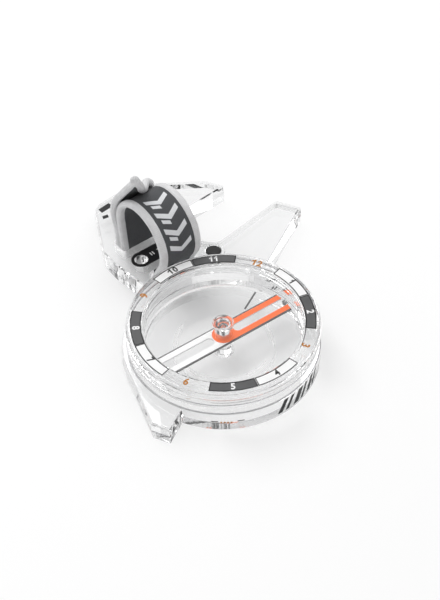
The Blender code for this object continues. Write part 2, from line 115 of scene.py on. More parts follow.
def mix_colour(tree, share, one, other):
    node = add_node(tree, "ShaderNodeMix", data_type="RGBA")
    for key, value in ((0, share), (6, one), (7, other)):
        if isinstance(value, bpy.types.NodeSocket):
            tree.links.new(value, node.inputs[key])
        else:
            node.inputs[key].default_value = value
    return node.outputs[2]


def grain(tree, where, scale, detail=3.0, roughness=0.5, distortion=0.0):
    inputs = {"Vector": where, "Scale": scale, "Detail": detail, "Roughness": roughness,
              "Distortion": distortion}
    return add_node(tree, "ShaderNodeTexNoise", inputs).outputs[0]


def bump(tree, height, strength, distance, before=None):
    inputs = {"Height": height, "Strength": strength, "Distance": distance}
    if before is not None:
        inputs["Normal"] = before
    return add_node(tree, "ShaderNodeBump", inputs).outputs[0]


def start_material(name, colour, **sockets):
    """New material with one Principled shader; gives it with its tree, shader and object coordinates."""
    made = bpy.data.materials.new(name)
    made.use_nodes = True
    tree = made.node_tree
    shader = tree.nodes["Principled BSDF"]
    shader.inputs["Base Color"].default_value = (*colour, 1.0)
    for key, value in sockets.items():
        shader.inputs[key.replace("_", " ")].default_value = value
    where = tree.nodes.new("ShaderNodeTexCoord").outputs["Object"]
    return made, tree, shader, where


# ---------------------------------------------------------------- materials

# Joints of the clear layers: the height, and how far the painted shade line reaches down from it
JOINTS = ((5.43 * MM, 0.1 * MM), (8.43 * MM, 0.25 * MM))
WET_R = 19.0 * MM                 # the damping liquid wets the walls inside this radius
WET_TOP = 10.95 * MM              # and up to this height
MIRROR_R = 1.4 * MM               # the bearing cup is mirror-like metal outside this radius, with painted reflection streaks
CLEAR_TINT = (0.992, 0.993, 0.994)
PLATE_TINT = (0.975, 0.977, 0.98)
# Grey of the painted shade on the clear plastic: the dark joint lines and the tooth's darkened sides
PAINTED_SHADE_GREY = (0.2, 0.2, 0.21, 1.0)
PLASTIC_INDEX = 1.49
WETTED_INDEX = 1.1
SLEEVE = (0.95, 0.96, 0.97)


def from_axis(tree, where):
    """Distance from the needle's axis, and height."""
    parts = add_node(tree, "ShaderNodeSeparateXYZ", {0: where}).outputs
    flat = add_node(tree, "ShaderNodeCombineXYZ", {0: parts[0], 1: parts[1]}).outputs[0]
    radius = add_node(tree, "ShaderNodeVectorMath", {0: flat}, operation="LENGTH").outputs["Value"]
    return radius, parts[2]


def between(tree, value, low, high, fade):
    """1 from low to high and 0 outside, with a short fade."""
    rise = ramp(tree, value, low - fade, low)
    fall = ramp(tree, value, high, high + fade, 1.0, 0.0)
    return maths(tree, "MULTIPLY", rise, fall)


def joint_dirt(tree, where):
    """Painted shade: 1 on the thin outer lines along the joints of the stack, 0 elsewhere."""
    radius, height = from_axis(tree, where)
    lines = [between(tree, height, joint - below, joint + 0.1 * MM, 0.07 * MM) for joint, below in JOINTS]
    rim = between(tree, radius, COLLAR_R - 0.5 * MM, COLLAR_R + 0.05 * MM, 0.05 * MM)
    return maths(tree, "MULTIPLY", maths(tree, "MAXIMUM", *lines), rim)


def wetted_index(tree, where):
    """Refractive index: the plastic's own, but a low contrast on the walls that the damping liquid wets."""
    radius, height = from_axis(tree, where)
    inside = ramp(tree, radius, WET_R - 0.02 * MM, WET_R + 0.02 * MM, 1.0, 0.0)
    below = ramp(tree, height, WET_TOP, WET_TOP + 0.05 * MM, 1.0, 0.0)
    wet = maths(tree, "MULTIPLY", inside, below)
    return ramp(tree, wet, 0.0, 1.0, PLASTIC_INDEX, WETTED_INDEX)


def sawn_edge(tree, where):
    """Painted shade: 1 on the darkened lower half of the tooth's sides and on a dark line along the ridge at
    their mid height, 0 elsewhere.
    """
    parts = add_node(tree, "ShaderNodeSeparateXYZ", {0: where}).outputs
    normal = tree.nodes.new("ShaderNodeNewGeometry").outputs["True Normal"]
    upright = add_node(tree, "ShaderNodeSeparateXYZ", {0: normal}).outputs[2]
    side = ramp(tree, maths(tree, "ABSOLUTE", upright), 0.3, 0.5, 1.0, 0.0)
    front = ramp(tree, parts[1], TOOTH_START - 0.2 * MM, TOOTH_START + 0.2 * MM, 1.0, 0.0)
    # Painted shade: darker on the lower half of the tooth's sides and along the ridge at their mid height
    lower_shade = ramp(tree, parts[2], EDGE_RIDGE_Z - 0.2 * MM, EDGE_RIDGE_Z - 0.1 * MM, 0.45, 0.0)
    ridge = between(tree, parts[2], EDGE_RIDGE_Z - 0.2 * MM, EDGE_RIDGE_Z + 0.2 * MM, 0.1 * MM)
    band = maths(tree, "MAXIMUM", lower_shade, ridge)
    return maths(tree, "MULTIPLY", maths(tree, "MULTIPLY", side, front), band)


def pass_soft_rays(tree, shader, shade):
    """Lets shadow and diffuse rays straight through the shader; shade is what is left of them."""
    rays = tree.nodes.new("ShaderNodeLightPath").outputs
    soft = maths(tree, "MAXIMUM", rays["Is Shadow Ray"], rays["Is Diffuse Ray"])
    through = add_node(tree, "ShaderNodeBsdfTransparent", {"Color": (shade, shade, shade, 1.0)})
    both = add_node(tree, "ShaderNodeMixShader", {0: soft, 1: shader.outputs[0], 2: through.outputs[0]})
    tree.links.new(both.outputs[0], tree.nodes["Material Output"].inputs["Surface"])


def clear_plastic(name, tint, smudge, ripple, shade=0.994, joints=False, wetted=False):
    """Polished clear moulding: faint flow ripples, smudges and a few fine scratches.

    Shadow and diffuse rays pass straight through it, so that light reaches what lies under the clear layers;
    shade is what is left of them at each surface.
    """
    made, tree, shader, where = start_material(name, tint, Transmission_Weight=1.0, IOR=PLASTIC_INDEX,
                                               Roughness=0.0)
    patches = grain(tree, where, 140.0, 4.0, 0.6)
    tree.links.new(ramp(tree, patches, 0.5, 0.8, 0.0, smudge), shader.inputs["Roughness"])
    flow = grain(tree, where, 55.0, 1.0, 0.4)
    waves = bump(tree, flow, 1.0, ripple)
    stretched = add_node(tree, "ShaderNodeMapping", {"Vector": where, "Rotation": (0.3, 0.2, 0.7),
                                                     "Scale": (1.0, 30.0, 6.0)}).outputs[0]
    scratches = ramp(tree, grain(tree, stretched, 260.0, 2.0, 0.5), 0.76, 0.82)
    tree.links.new(bump(tree, scratches, 0.01, 0.000002, waves), shader.inputs["Normal"])
    # Painted shade: with joints, the base colour darkens towards grey on thin lines along the joints of the
    # stack and on the tooth's sides
    if joints:
        painted_shade_mask = maths(tree, "MULTIPLY", joint_dirt(tree, where), ramp(tree, flow, 0.3, 0.6, 0.75, 1.0))
        painted_shade_mask = maths(tree, "MAXIMUM", painted_shade_mask, sawn_edge(tree, where))
        tree.links.new(mix_colour(tree, painted_shade_mask, (*tint, 1.0), PAINTED_SHADE_GREY), shader.inputs["Base Color"])
    if wetted:
        tree.links.new(wetted_index(tree, where), shader.inputs["IOR"])
    pass_soft_rays(tree, shader, shade)
    return made


def printed_foil(name, colour, other, sheer=False):
    """Screen-printed film: nearly even, with a fine ink grain. A sheer one throws no shadow."""
    made, tree, shader, where = start_material(name, colour, Roughness=0.38, Specular_IOR_Level=0.15)
    speckle = grain(tree, where, 5200.0, 2.0, 0.6)
    patches = grain(tree, where, 420.0, 3.0, 0.5)
    share = ramp(tree, maths(tree, "ADD", maths(tree, "MULTIPLY", speckle, 0.4),
                             maths(tree, "MULTIPLY", patches, 0.6)), 0.35, 0.65)
    tree.links.new(mix_colour(tree, share, (*colour, 1.0), (*other, 1.0)), shader.inputs["Base Color"])
    tree.links.new(ramp(tree, patches, 0.3, 0.7, 0.3, 0.46), shader.inputs["Roughness"])
    tree.links.new(bump(tree, speckle, 0.12, 0.00002), shader.inputs["Normal"])
    if sheer:
        pass_soft_rays(tree, shader, 0.99)
    return made


def enamel(name, colour, worn):
    """Paint on the needle: a thin glossy coat with an orange-peel grain and slightly worn patches."""
    made, tree, shader, where = start_material(name, colour, Roughness=0.3, Specular_IOR_Level=0.25)
    peel = grain(tree, where, 2600.0, 2.0, 0.5)
    wear = ramp(tree, grain(tree, where, 600.0, 5.0, 0.7), 0.56, 0.7, 0.0, 0.5)
    tree.links.new(mix_colour(tree, wear, (*colour, 1.0), (*worn, 1.0)), shader.inputs["Base Color"])
    tree.links.new(ramp(tree, peel, 0.3, 0.7, 0.24, 0.42), shader.inputs["Roughness"])
    tree.links.new(bump(tree, peel, 0.2, 0.00003), shader.inputs["Normal"])
    return made


def steel(name, colour, rough):
    """Rolled or turned steel: fine streaks and small darker stains."""
    made, tree, shader, where = start_material(name, colour, Metallic=1.0, Roughness=rough)
    streaks = add_node(tree, "ShaderNodeMapping", {"Vector": where, "Scale": (1.0, 1.0, 12.0)}).outputs[0]
    lines = grain(tree, streaks, 2400.0, 2.0, 0.5)
    stains = ramp(tree, grain(tree, where, 700.0, 4.0, 0.6), 0.5, 0.8, 0.0, 0.5)
    dark = tuple(0.45 * c for c in colour)
    tree.links.new(mix_colour(tree, stains, (*colour, 1.0), (*dark, 1.0)), shader.inputs["Base Color"])
    tree.links.new(ramp(tree, lines, 0.3, 0.7, rough * 0.7, rough * 1.4), shader.inputs["Roughness"])
    tree.links.new(bump(tree, lines, 0.15, 0.00002), shader.inputs["Normal"])
    return made


def blade_steel(name, bare, primed):
    """Needle blade: bare dark steel along its two long edges, a pale primer everywhere else."""
    made, tree, shader, where = start_material(name, primed, Roughness=0.45)
    along_y = {"Vector": where, "Rotation": (0.0, 0.0, NEEDLE_ANGLE)}
    turned = add_node(tree, "ShaderNodeMapping", along_y).outputs[0]
    off_axis = maths(tree, "ABSOLUTE", add_node(tree, "ShaderNodeSeparateXYZ", {0: turned}).outputs[0])
    edge = ramp(tree, off_axis, NEEDLE_HALF - NEEDLE_EDGE - 0.06 * MM, NEEDLE_HALF - NEEDLE_EDGE)
    fine = grain(tree, where, 2400.0, 2.0, 0.5)
    tree.links.new(mix_colour(tree, edge, (*primed, 1.0), (*bare, 1.0)), shader.inputs["Base Color"])
    tree.links.new(ramp(tree, fine, 0.3, 0.7, 0.35, 0.6), shader.inputs["Roughness"])
    tree.links.new(bump(tree, fine, 0.15, 0.00002), shader.inputs["Normal"])
    return made


def bearing_cup(name):
    """Clear jewel in a bright turned sleeve: the side is mirror-like, with dark and light streaks of painted
    reflection in its colour.
    """
    made, tree, shader, where = start_material(name, SLEEVE, Roughness=0.04, IOR=1.6)
    radius, _ = from_axis(tree, where)
    side = ramp(tree, radius, MIRROR_R - 0.02 * MM, MIRROR_R + 0.02 * MM)
    # Painted reflection: dark and light streaks running up the metal side stand in for the reflected
    # surroundings
    stretched = add_node(tree, "ShaderNodeMapping", {"Vector": where, "Scale": (1.0, 1.0, 0.02)}).outputs[0]
    streaks = ramp(tree, grain(tree, stretched, 900.0, 1.0, 0.5), 0.42, 0.56)
    bright = mix_colour(tree, streaks, (0.06, 0.06, 0.065, 1.0), (0.95, 0.95, 0.96, 1.0))
    tree.links.new(mix_colour(tree, side, (*SLEEVE, 1.0), bright), shader.inputs["Base Color"])
    tree.links.new(side, shader.inputs["Metallic"])
    tree.links.new(maths(tree, "SUBTRACT", 1.0, side), shader.inputs["Transmission Weight"])
    return made


def rubber(name, colour):
    made, tree, shader, where = start_material(name, colour, Roughness=0.7)
    fine = grain(tree, where, 3800.0, 3.0, 0.6)
    dust = ramp(tree, grain(tree, where, 500.0, 4.0, 0.6), 0.55, 0.8, 0.0, 0.25)
    pale = tuple(c + 0.08 for c in colour)
    tree.links.new(mix_colour(tree, dust, (*colour, 1.0), (*pale, 1.0)), shader.inputs["Base Color"])
    tree.links.new(ramp(tree, fine, 0.3, 0.7, 0.55, 0.85), shader.inputs["Roughness"])
    tree.links.new(bump(tree, fine, 0.4, 0.00004), shader.inputs["Normal"])
    return made


def knit(name, colour, pale, rows, fuzz):
    """Knitted elastic: rows of stitches. The weave attribute holds metres along and across the strap."""
    made, tree, shader, where = start_material(name, colour, Roughness=0.9, Sheen_Weight=0.08,
                                               Sheen_Roughness=0.5)
    place = add_node(tree, "ShaderNodeAttribute", attribute_name="weave").outputs["Vector"]
    parts = add_node(tree, "ShaderNodeSeparateXYZ", {0: place})
    along, across = parts.outputs[0], parts.outputs[1]
    turn = 2 * pi / rows
    wobble = maths(tree, "MULTIPLY", grain(tree, where, 1500.0, 2.0), 2.0)
    rib = maths(tree, "SINE", maths(tree, "ADD", maths(tree, "MULTIPLY", across, turn), wobble))
    slant = maths(tree, "ABSOLUTE", rib)
    stitch = maths(tree, "SINE", maths(tree, "ADD", maths(tree, "MULTIPLY", along, turn * 1.3),
                                       maths(tree, "MULTIPLY", slant, 2.2)))
    height = maths(tree, "ADD", maths(tree, "MULTIPLY", stitch, 0.5), maths(tree, "MULTIPLY", rib, 0.5))
    fibres = grain(tree, where, 6000.0, 4.0, 0.7)
    height = maths(tree, "ADD", height, maths(tree, "MULTIPLY", fibres, fuzz))
    blotches = grain(tree, where, 450.0, 3.0, 0.6)
    # Colour: random blotches of yarn tone, plus painted shade from the stitch relief, darker in its hollows
    # and paler on the raised stitches
    share = ramp(tree, maths(tree, "ADD", maths(tree, "MULTIPLY", height, 0.35), blotches), 0.1, 1.2)
    tree.links.new(mix_colour(tree, share, (*colour, 1.0), (*pale, 1.0)), shader.inputs["Base Color"])
    tree.links.new(bump(tree, height, 0.7, 0.00005), shader.inputs["Normal"])
    return made


def paper_floor():
    """Matt paper sweep with a slight mottle, painted pale round the object and darker far away: a painted
    pool of light fading into painted shade.
    """
    made, tree, shader, where = start_material("studio_floor", (0.93, 0.93, 0.93), Roughness=0.9)
    mottle = mix_colour(tree, grain(tree, where, 3.0, 2.0), (0.92, 0.92, 0.92, 1.0), (0.94, 0.94, 0.94, 1.0))
    radius, _ = from_axis(tree, where)
    # Painted light: the colour darkens with distance from the object, as falling-off light would
    far = ramp(tree, radius, 0.2, 0.6)
    tree.links.new(mix_colour(tree, far, mottle, (0.28, 0.28, 0.28, 1.0)), shader.inputs["Base Color"])
    return made


def make_materials():
    return {
        "acrylic": clear_plastic("clear_acrylic", PLATE_TINT, 0.02, 0.000004, 0.965, joints=True,
                                 wetted=True),
        "moulding": clear_plastic("clear_moulding", CLEAR_TINT, 0.005, 0.000001, joints=True),
        "capsule": clear_plastic("clear_capsule", CLEAR_TINT, 0.005, 0.000002, joints=True, wetted=True),
        "window": clear_plastic("clear_window", (0.99, 0.99, 0.99), 0.004, 0.000001),
        "cup": bearing_cup("bearing_cup"),
        "pale_foil": printed_foil("white_foil", (0.93, 0.93, 0.93), (0.86, 0.86, 0.86)),
        "grey_foil": printed_foil("grey_foil", (0.098, 0.099, 0.101), (0.118, 0.119, 0.121)),
        "ink": printed_foil("black_ink", (0.02, 0.02, 0.021), (0.035, 0.035, 0.036)),
        "sheer_ink": printed_foil("wall_ink", (0.02, 0.02, 0.021), (0.035, 0.035, 0.036), sheer=True),
        "line": printed_foil("grey_line", (0.09, 0.09, 0.093), (0.12, 0.12, 0.123)),
        "ochre": printed_foil("ochre_ink", (0.5, 0.195, 0.03), (0.4, 0.145, 0.02)),
        "label": printed_foil("black_label", (0.016, 0.016, 0.017), (0.025, 0.025, 0.026)),
        "orange": enamel("orange_enamel", (1.0, 0.15, 0.008), (0.92, 0.115, 0.006)),
        "white": enamel("white_enamel", (0.95, 0.95, 0.95), (0.88, 0.88, 0.88)),
        "blade": blade_steel("blade_steel", (0.045, 0.045, 0.047), (0.72, 0.72, 0.73)),
        "pin": steel("polished_steel", (0.7, 0.7, 0.72), 0.12),
        "rubber": rubber("black_rubber", (0.014, 0.014, 0.014)),
        "plug": rubber("grey_plug", (0.25, 0.25, 0.255)),
        "band": knit("strap_knit", (0.062, 0.064, 0.069), (0.086, 0.089, 0.095), 0.00042, 0.5),
        "edge": knit("strap_binding", (0.58, 0.58, 0.59), (0.86, 0.86, 0.87), 0.00055, 1.4),
        "print": knit("strap_print", (0.7, 0.71, 0.73), (0.82, 0.83, 0.85), 0.00042, 0.8),
        "floor": paper_floor(),
    }


# ---------------------------------------------------------------- mesh helpers

def finish_piece(name, bm, mat, body, smooth=40):
    """Turns a bmesh into a piece that rides on a body."""
    bmesh.ops.recalc_face_normals(bm, faces=bm.faces)
    mesh = bpy.data.meshes.new(name)
    bm.to_mesh(mesh)
    bm.free()
    mesh.materials.append(mat)
    mesh.shade_smooth()
    mesh.set_sharp_from_angle(angle=radians(smooth))
    piece = bpy.data.objects.new(name, mesh)
    bpy.context.scene.collection.objects.link(piece)
    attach(piece, body)
    return piece


def film(bm, outline, low, high):
    """Adds a thin closed slab with the given plan to bm."""
    bottom = [bm.verts.new((p[0], p[1], low)) for p in outline]
    top = [bm.verts.new((p[0], p[1], high)) for p in outline]
    for i in range(len(outline)):
        j = (i + 1) % len(outline)
        bm.faces.new((bottom[i], bottom[j], top[j], top[i]))
    bm.faces.new(bottom[::-1])
    bm.faces.new(top)


def around(angle):
    """Unit vector at a clock angle: 0 is 12, and it grows clockwise."""
    return Vector((sin(angle), cos(angle)))


def arc_points(radius, start, end, steps):
    return [around(start + (end - start) * i / steps) * radius for i in range(steps + 1)]


# ---------------------------------------------------------------- dial print

FILM = 0.012 * MM
DIGIT_HEIGHT = 1.68 * MM
BARE_DIGIT_HEIGHT = 1.85 * MM     # for the hours that have no foil behind them
FONT_CAP_HEIGHT = 0.7             # share of the built-in font's size that a digit fills
BOLD = 0.045                      # outward growth of the strokes, as a share of the digit's height
FOIL_MARGIN = 0.05 * MM           # from an outline to the border of its segment
OUTLINE_WIDTH = 0.26 * MM
PRINT_LIFT = 0.002 * MM

# The font's 1 is a plain bar, so each gets a flag: middles of the bars and outline, in digit heights
ONE_CENTRES = {"1": (0.0,), "10": (-0.515,), "11": (-0.395, 0.395), "12": (-0.51,)}
ONE_FLAG = ((0.05, 0.53), (-0.36, 0.28), (-0.36, 0.06), (0.05, 0.31))


def text_mesh(text, height, thick):
    """Mesh of a number centred on the origin; it is filled at a large size and then shrunk."""
    curve = bpy.data.curves.new("number", "FONT")
    curve.body = text
    curve.size = 1 / FONT_CAP_HEIGHT
    curve.align_x = "CENTER"
    curve.align_y = "CENTER"
    curve.extrude = 0.5
    curve.offset = BOLD
    curve.resolution_u = 3
    curve.space_character = 1.1
    holder = bpy.data.objects.new("number", curve)
    bpy.context.scene.collection.objects.link(holder)
    mesh = bpy.data.meshes.new_from_object(holder)
    bpy.data.objects.remove(holder)
    bpy.data.curves.remove(curve)
    bm = bmesh.new()
    bm.from_mesh(mesh)
    for middle in ONE_CENTRES.get(text, ()):
        film(bm, [(middle + x, y) for x, y in ONE_FLAG], -0.5, 0.5)
    bm.to_mesh(mesh)
    bm.free()
    mesh.transform(Matrix.Diagonal((height * 0.95, height, thick, 1)))
    return mesh


def numeral_look(hour):
    """Material key, record slot, digit height and the height of the surface under an hour's number."""
    if hour not in FOIL_HOURS:
        return "ochre", "needle_paint", BARE_DIGIT_HEIGHT, RING_TOP
    if hour in WHITE_HOURS:
        return "ink", "grey_foil", DIGIT_HEIGHT, FOIL_TOP
    return "pale_foil", "white_foil", DIGIT_HEIGHT, FOIL_TOP


def make_numerals(mats):
    """Hour numbers, all upright for a reader at 6: from 9 over 12 to 3 their heads point outwards."""
    middle = (PRINT_R[0] + PRINT_R[1]) / 2
    for hour in range(1, 13):
        key, slot, size, surface = numeral_look(hour)
        angle = hour * pi / 6
        spin = pi - angle if 3 < hour < 9 else -angle
        place = around(angle) * middle
        mesh = text_mesh(str(hour), size, FILM)
        mesh.transform(Matrix.Translation((*place, surface + FILM)) @ Matrix.Rotation(spin, 4, "Z"))
        bm = bmesh.new()
        bm.from_mesh(mesh)
        finish_piece(f"numeral_{hour:02d}", bm, mats[key], "hour_ring")


def make_segment_frames(mats):
    """Thin dark outline printed round each foil segment."""
    steps = 16
    foot = FOIL_TOP + PRINT_LIFT
    for hour in FOIL_HOURS:
        middle = hour * pi / 6
        half = pi / 12 - FOIL_MARGIN / PRINT_R[0]
        bm = bmesh.new()
        rings = []
        for inset in (0, OUTLINE_WIDTH):
            inner, outer = PRINT_R[0] + inset, PRINT_R[1] - inset
            reach = half - inset / PRINT_R[1]
            rings.append(arc_points(outer, middle - reach, middle + reach, steps)
                         + arc_points(inner, middle + reach, middle - reach, steps))
        count = len(rings[0])
        low, high = [[[bm.verts.new((*p, z)) for p in ring] for ring in rings] for z in (foot, foot + FILM)]
        for i in range(count):
            j = (i + 1) % count
            bm.faces.new((high[0][i], high[0][j], high[1][j], high[1][i]))
            bm.faces.new((low[0][j], low[0][i], low[1][i], low[1][j]))
            bm.faces.new((low[0][i], low[0][j], high[0][j], high[0][i]))
            bm.faces.new((low[1][j], low[1][i], high[1][i], high[1][j]))
        finish_piece(f"segment_outline_{hour:02d}", bm, mats["ink"], "hour_ring")


# ---------------------------------------------------------------- needle paint

PAINT_THICK = 0.03 * MM


def needle_to_dial(points):
    turn = Matrix.Rotation(-NEEDLE_ANGLE, 2)
    return [turn @ Vector(p) for p in points]


def make_needle_paint(mats):
    """Orange and white coats on the blade's top face; the blade's long edges stay bare."""
    low = NEEDLE_TOP + 0.004 * MM
    high = low + PAINT_THICK
    edge = NEEDLE_HALF - NEEDLE_EDGE
    slot = SLOT_HALF + 0.04 * MM
    quarter = [i * pi / 16 for i in range(9)]
    side_turn = [i * radians(84) / 12 for i in range(13)]
    disc = [(DISC_R * sin(t), -DISC_R * cos(t)) for t in side_turn]
    tip = [(edge, NEEDLE_REACH - NEEDLE_LEAN * 0.9), (slot, NEEDLE_REACH - 0.05 * MM)]
    slot_end = [(slot * cos(t), SLOT_START - slot * sin(t)) for t in quarter]
    hub_hole = [(HUB_HOLE_R * sin(t), HUB_HOLE_R * cos(t)) for t in (i * pi / 12 for i in range(13))]
    orange = disc + [(edge, 0.3 * MM)] + tip + slot_end + hub_hole
    gap = 0.03 * MM
    white = [(x, -y) for x, y in slot_end[::-1]] + [(x, -y) for x, y in tip[::-1]]
    white += [(x, y - gap) for x, y in disc[::-1]]

    for side, name in ((1, "right"), (-1, "left")):
        for coat, outline in (("orange", orange), ("white", white)):
            bm = bmesh.new()
            film(bm, needle_to_dial([(side * x, y) for x, y in outline]), low, high)
            finish_piece(f"needle_{coat}_{name}", bm, mats[coat], "needle")


# ---------------------------------------------------------------- strap

BINDING_WIDTH = 2.1 * MM
BINDING_THICK = 1.8 * MM
CORE_THICK = 1.16 * MM
SEAM = 0.15 * MM                  # how far the binding reaches past the strap's edge
TAIL_CLEARANCE = 1.6 * MM         # least distance between the loop's and the tail's middle surfaces

# Lines along the free end in millimetres (u, a, h), from its near edge to its far edge, up to the slanted tip
TAIL_ROWS = (
    ((-3.3, 0, -3), (-3.3, 0, 0), (-3.5, 0, 4.5), (-4.6, 0, 9.5), (-2.8, 0, 14.6), (1.6, 0.3, 20.6),
     (7.7, 1, 28.5)),
    ((-3.3, 3, -3), (-3.3, 3, 0), (-3.5, 3, 4.5), (-4.3, 3, 9), (-3.2, 3, 13.6), (0.4, 3.2, 18.3),
     (5.3, 3.6, 23.8)),
    ((-3.3, 6.1, -3), (-3.3, 6.1, 0), (-3.6, 6.1, 4.5), (-3.9, 6.1, 8.5), (-3.4, 6.1, 12.4), (-1, 6.1, 16.2),
     (2.9, 6.1, 19.2)),
    ((-3.3, 9.1, -3), (-3.3, 9.1, 0), (-3.6, 9.1, 4.4), (-4, 9.1, 8), (-3.9, 9.1, 11.4), (-2.7, 9.1, 14.8),
     (-0.4, 9.1, 18.2)),
    ((-3.3, 12.2, -3), (-3.3, 12.2, 0), (-3.6, 12.2, 4.2), (-3.9, 12.2, 7.4), (-4, 12.2, 10),
     (-3.5, 12.2, 12.4), (-2.3, 12.2, 14.6)),
)


def strap_point(u, a, h):
    across = Vector((cos(STRAP_ANGLE), -sin(STRAP_ANGLE), 0))
    along = Vector((sin(STRAP_ANGLE), cos(STRAP_ANGLE), 0))
    return STRAP_ORIGIN + across * u + along * a + Vector((0, 0, h))


def bend(centre, radius, start, end, step=radians(4)):
    count = max(3, round(abs(end - start) / step))
    turns = [start + (end - start) * i / count for i in range(count + 1)]
    return [Vector((centre[0] + radius * cos(t), centre[1] + radius * sin(t))) for t in turns]


def line_points(start, end, step=0.8 * MM):
    count = max(1, round((end - start).length / step))
    return [start.lerp(end, i / count) for i in range(1, count)]


def loop_path():
    """Middle line of the loop in (u, h), as in the CAD band: from the left slot over to the right slot."""
    left, right = LOOP_FEET
    over = bend(LOOP_CENTRE, LOOP_R, pi, LOOP_END)
    left_foot, left_leg = Vector((left, LOOP_FOOT)), Vector((left, 0))
    right_leg, right_foot = Vector((right, -0.6 * MM)), Vector((right, LOOP_FOOT))
    path = [left_foot, *line_points(left_foot, left_leg), left_leg, *line_points(left_leg, over[0]), *over]
    path += [*line_points(over[-1], right_leg), right_leg, *line_points(right_leg, right_foot), right_foot]
    return path


def loop_frames():
    """(middle point in (u, h), outward normal in (u, h), distance along) for the loop."""
    path = loop_path()
    frames = []
    run = 0.0
    for i, point in enumerate(path):
        run += (point - path[max(i - 1, 0)]).length
        along = (path[min(i + 1, len(path) - 1)] - path[max(i - 1, 0)]).normalized()
        frames.append((point, Vector((-along.y, along.x)), run))
    return frames


def ribbon(bm, rings):
    """Skins rings of (point, weave) rows, closes both ends and stores the weave attribute."""
    weave = bm.verts.layers.float_vector.get("weave") or bm.verts.layers.float_vector.new("weave")
    rows = []
    for ring in rings:
        row = []
        for point, place in ring:
            vert = bm.verts.new(point)
            vert[weave] = place
            row.append(vert)
        rows.append(row)
    for one, two in zip(rows, rows[1:]):
        for i in range(len(one)):
            j = (i + 1) % len(one)
            bm.faces.new((one[i], one[j], two[j], two[i]))
    bm.faces.new(rows[0][::-1])
    bm.faces.new(rows[-1])


def binding_profile(steps=16):
    """Rounded section of a bound edge: (distance in from the edge, height off the middle)."""
    rows = []
    for i in range(steps):
        t = 2 * pi * i / steps
        c, s = cos(t), sin(t)
        x = abs(c) ** 0.8 * (1 if c > 0 else -1)
        y = abs(s) ** 0.75 * (1 if s > 0 else -1)
        rows.append((BINDING_WIDTH / 2 * (1 + x), BINDING_THICK / 2 * y))
    return rows


def fuzzy(point, amount):
    """Small even irregularity of knitted edges."""
    coarse = noise.noise_vector(point * 900) * amount * 0.6
    fine = noise.noise_vector(point * 2600) * amount * 0.4
    return point + (coarse + fine)


def make_loop(mats):
    """The loop's knitted band, and the binding on its two edges."""
    frames = loop_frames()
    bm = bmesh.new()
    rings = []
    edge = BINDING_WIDTH * 0.55
    lanes = 14
    for point, out, run in frames:
        ring = []
        for sign in (1, -1):
            for i in range(lanes + 1):
                t = i / lanes if sign > 0 else 1 - i / lanes
                a = edge + (STRAP_WIDTH - 2 * edge) * t
                place = point + out * (sign * CORE_THICK / 2)
                ring.append((strap_point(place.x, a, place.y), (run, a, 0)))
        rings.append(ring)
    ribbon(bm, rings)
    core = finish_piece("strap_loop_band", bm, mats["band"], "base", 60)
    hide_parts("strap_loop")

    for name, start, way in (("near", 0, 1), ("far", STRAP_WIDTH, -1)):
        bm = bmesh.new()
        rings = []
        for point, out, run in frames:
            ring = []
            for inward, height in binding_profile():
                place = point + out * height
                spot = strap_point(place.x, start + way * inward, place.y)
                ring.append((fuzzy(spot, 0.07 * MM), (run, inward * 2 + height, 0)))
            rings.append(ring)
        ribbon(bm, rings)
        finish_piece(f"strap_loop_binding_{name}", bm, mats["edge"], "base", 80)


def clear_of_loop(point):
    """Pushes a point of the tail straight out from the round of the loop if it lies too close to it."""
    centre = Vector((LOOP_CENTRE[0], point.y, LOOP_CENTRE[1]))
    arm = point - centre
    least = LOOP_R + TAIL_CLEARANCE
    if arm.z > 0 and arm.length < least:
        return centre + arm.normalized() * least
    return point


def spline(points, per_span):
    padded = [points[0] * 2 - points[1], *points, points[-1] * 2 - points[-2]]
    curve = []
    for p0, p1, p2, p3 in zip(padded, padded[1:], padded[2:], padded[3:]):
        for i in range(per_span):
            t = i / per_span
            bent = (p0 * 2 - p1 * 5 + p2 * 4 - p3) * t * t + (p1 * 3 - p0 - p2 * 3 + p3) * t ** 3
            curve.append((p1 * 2 + (p2 - p0) * t + bent) / 2)
    return curve + [points[-1]]


def tail_grid(spans, lanes):
    """World points and normals of the tail's middle surface, as rows from the slot to the tip."""
    lines = [spline([Vector(p) * MM for p in row], spans) for row in TAIL_ROWS]
    per_span = lanes // (len(TAIL_ROWS) - 1)
    grid = [[strap_point(*clear_of_loop(p)) for p in spline(row, per_span)] for row in zip(*lines)]
    normals = []
    for i, row in enumerate(grid):
        before, after = grid[max(i - 1, 0)], grid[min(i + 1, len(grid) - 1)]
        line = []
        for j in range(lanes + 1):
            across = row[min(j + 1, lanes)] - row[max(j - 1, 0)]
            line.append((after[j] - before[j]).cross(across).normalized())
        normals.append(line)
    return grid, normals


def rounded_corner(before, after, cut_before, cut_after):
    """Joins two runs of rim places and rounds the corner where they meet."""
    corner = before[-1][0]
    start, start_normal, start_inward = before[-1 - cut_before]
    end, end_normal, end_inward = after[cut_after]
    steps = 8
    places = []
    for i in range(steps + 1):
        t = i / steps
        point = start * (1 - t) ** 2 + corner * 2 * t * (1 - t) + end * t * t
        places.append((point, start_normal.lerp(end_normal, t).normalized(),
                       start_inward.lerp(end_inward, t).normalized()))
    return before[:-1 - cut_before] + places + after[cut_after + 1:]


def tail_rims(grid, normals):
    """Two runs of (point, normal, way inwards): the near edge, and the tip with the far edge."""
    last, lanes = len(grid) - 1, len(grid[0]) - 1
    near = [(grid[i][0], normals[i][0], (grid[i][1] - grid[i][0]).normalized()) for i in range(last + 1)]
    far = [(grid[i][lanes], normals[i][lanes], (grid[i][lanes - 1] - grid[i][lanes]).normalized())
           for i in range(last, -1, -1)]
    tip = []
    for j in range(lanes + 1):
        along = grid[last][min(j + 1, lanes)] - grid[last][max(j - 1, 0)]
        inward = along.cross(normals[last][j]).normalized()
        if inward.dot(grid[last - 3][j] - grid[last][j]) < 0:
            inward = -inward
        tip.append((grid[last][j], normals[last][j], inward))
    return near, rounded_corner(tip, far, 2, 4)[::-1]


